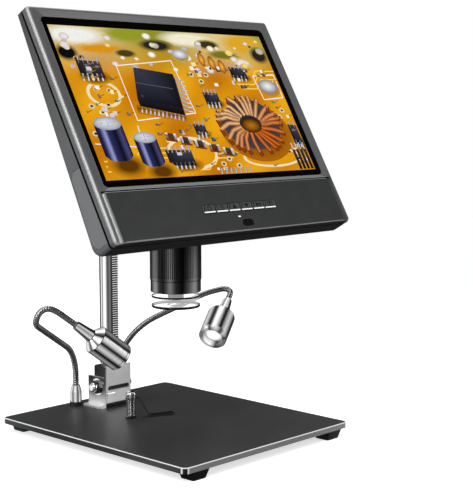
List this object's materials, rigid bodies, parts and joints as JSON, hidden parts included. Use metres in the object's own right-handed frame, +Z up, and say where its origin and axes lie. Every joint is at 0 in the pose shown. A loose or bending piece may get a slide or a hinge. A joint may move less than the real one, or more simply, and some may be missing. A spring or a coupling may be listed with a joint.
{
  "type": "digital microscope",
  "caption": "Free-standing digital microscope: leaning screen console over a focus barrel, on a rack column with slab base, gooseneck lamps and spring clip.",
  "frame": {"origin": "centre of the base in plan, at the level the rubber feet stand on", "axes": "+Z up along the column, +X to the viewer's right, -Y towards the viewer and the screen's front"},
  "size_m": [0.252, 0.21, 0.329],
  "materials": {
    "base_paint": "semi-gloss black powder coat",
    "foot_rubber": "matt black",
    "polished_steel": "polished, fine grain",
    "chrome": "mirror chrome",
    "black_steel": "black oxide",
    "black_plastic": "fine matt",
    "barrel_plastic": "satin gloss",
    "head_grey": "gunmetal satin",
    "shell_grey": "satin gunmetal",
    "chin_grey": "satin dark grey",
    "key_grey": "satin dark grey",
    "screen_glass": "black cover glass",
    "window_black": "gloss dark window",
    "clear_plastic": "clear polished acrylic",
    "lens_glass": "coated lens",
    "lamp_lens": "frosted clear",
    "board_green": "solder resist",
    "anodised_black": "black anodised",
    "brass": "machined",
    "spring_steel": "blackened spring steel",
    "bracket_steel": "polished stainless sheet"
  },
  "bodies": {
    "stand": {"base_plate": "base_paint", "rubber_feet": "foot_rubber", "base_screws": "polished_steel", "column_bracket": "bracket_steel", "clamp_bolt": "chrome", "clamp_washers": "chrome", "clamp_nuts": "black_steel", "column_foot": "black_plastic", "rack_column": "polished_steel", "column_cap": "black_plastic", "clip_post": "black_steel", "clip_spring": "spring_steel", "clip_nut": "chrome", "ferrule_bases": "black_plastic", "neck_ferrules": "chrome"},
    "clip": {"stage_clip": "polished_steel"},
    "left_arm": {"left_neck": "polished_steel"},
    "right_arm": {"right_neck": "polished_steel"},
    "left_lamp": {"left_lamp_shell": "chrome", "left_lamp_bezel": "chrome", "left_lamp_lens": "lamp_lens", "left_lamp_board": "board_green"},
    "right_lamp": {"right_lamp_shell": "chrome", "right_lamp_bezel": "chrome", "right_lamp_lens": "lamp_lens", "right_lamp_board": "board_green"},
    "head": {"carriage_block": "anodised_black", "gib_plate": "anodised_black", "carriage_screws": "black_steel", "head_arm": "anodised_black", "pinion_bushes": "brass", "optics_housing": "black_plastic", "lens_tube": "black_plastic", "barrel_collar": "barrel_plastic", "led_ring": "board_green", "objective_barrel": "anodised_black", "objective_lens": "lens_glass", "clear_cap": "clear_plastic", "sensor_board": "board_green", "front_frame": "head_grey", "display_glass": "screen_glass", "lcd_panel": "black_steel", "chin_panel": "chin_grey", "key_board": "board_green", "ir_window": "window_black", "rear_shell": "shell_grey", "side_covers": "shell_grey", "shell_screws": "black_steel", "main_board": "board_green", "usb_socket": "polished_steel", "card_socket": "polished_steel"},
    "focus_drive": {"pinion_shaft": "polished_steel", "focus_knobs": "black_plastic"},
    "focus_ring": {"focus_ring": "barrel_plastic"},
    "key_1": {"key_1": "key_grey"},
    "key_2": {"key_2": "key_grey"},
    "key_3": {"key_3": "key_grey"},
    "key_4": {"key_4": "key_grey"},
    "key_5": {"key_5": "key_grey"},
    "key_6": {"key_6": "key_grey"}
  },
  "joints": [
    {"name": "head_slide", "type": "slide", "parent": "stand", "child": "head", "axis": [0, 0, 1], "range_m": [-0.06, 0.04]},
    {"name": "focus_knob_turn", "type": "hinge", "parent": "head", "child": "focus_drive", "pos_m": [0, 0.06405, 0.2015], "axis": [1, 0, 0], "range_deg": [-480, 720]},
    {"name": "focus_ring_turn", "type": "hinge", "parent": "head", "child": "focus_ring", "pos_m": [0, -0.003, 0.1395], "axis": [0, 0, 1], "range_deg": [-150, 150]},
    {"name": "clip_swing", "type": "hinge", "parent": "stand", "child": "clip", "pos_m": [-0.0206, 0.0278, 0.0275], "axis": [0, 0, 1], "range_deg": [-60, 60]},
    {"name": "left_lamp_swing", "type": "hinge", "parent": "stand", "child": "left_arm", "pos_m": [-0.0225, 0.094, 0.0285], "axis": [0, 0, 1], "range_deg": [-35, 10]},
    {"name": "left_lamp_tilt", "type": "hinge", "parent": "left_arm", "child": "left_lamp", "pos_m": [-0.07219, 0.05408, 0.10045], "axis": [-0.2876, -0.9578, 0], "range_deg": [-20, 8]},
    {"name": "right_lamp_swing", "type": "hinge", "parent": "stand", "child": "right_arm", "pos_m": [0.0225, 0.094, 0.0285], "axis": [0, 0, -1], "range_deg": [-35, 6]},
    {"name": "right_lamp_tilt", "type": "hinge", "parent": "right_arm", "child": "right_lamp", "pos_m": [0.10332, 0.03282, 0.10442], "axis": [-0.4477, 0.8942, 0], "range_deg": [-18, 12]},
    {"name": "key_1_press", "type": "slide", "parent": "head", "child": "key_1", "axis": [0, 0.866, -0.5], "range_m": [0, 0.0005], "stiffness_N_per_m": 900, "springref_m": -0.0002},
    {"name": "key_2_press", "type": "slide", "parent": "head", "child": "key_2", "axis": [0, 0.866, -0.5], "range_m": [0, 0.0005], "stiffness_N_per_m": 900, "springref_m": -0.0002},
    {"name": "key_3_press", "type": "slide", "parent": "head", "child": "key_3", "axis": [0, 0.866, -0.5], "range_m": [0, 0.0005], "stiffness_N_per_m": 900, "springref_m": -0.0002},
    {"name": "key_4_press", "type": "slide", "parent": "head", "child": "key_4", "axis": [0, 0.866, -0.5], "range_m": [0, 0.0005], "stiffness_N_per_m": 900, "springref_m": -0.0002},
    {"name": "key_5_press", "type": "slide", "parent": "head", "child": "key_5", "axis": [0, 0.866, -0.5], "range_m": [0, 0.0005], "stiffness_N_per_m": 900, "springref_m": -0.0002},
    {"name": "key_6_press", "type": "slide", "parent": "head", "child": "key_6", "axis": [0, 0.866, -0.5], "range_m": [0, 0.0005], "stiffness_N_per_m": 900, "springref_m": -0.0002}
  ],
  "couplings": [
    {"joint": "focus_knob_turn", "follows": "head_slide", "rad_per_m": -208.33}
  ]
}
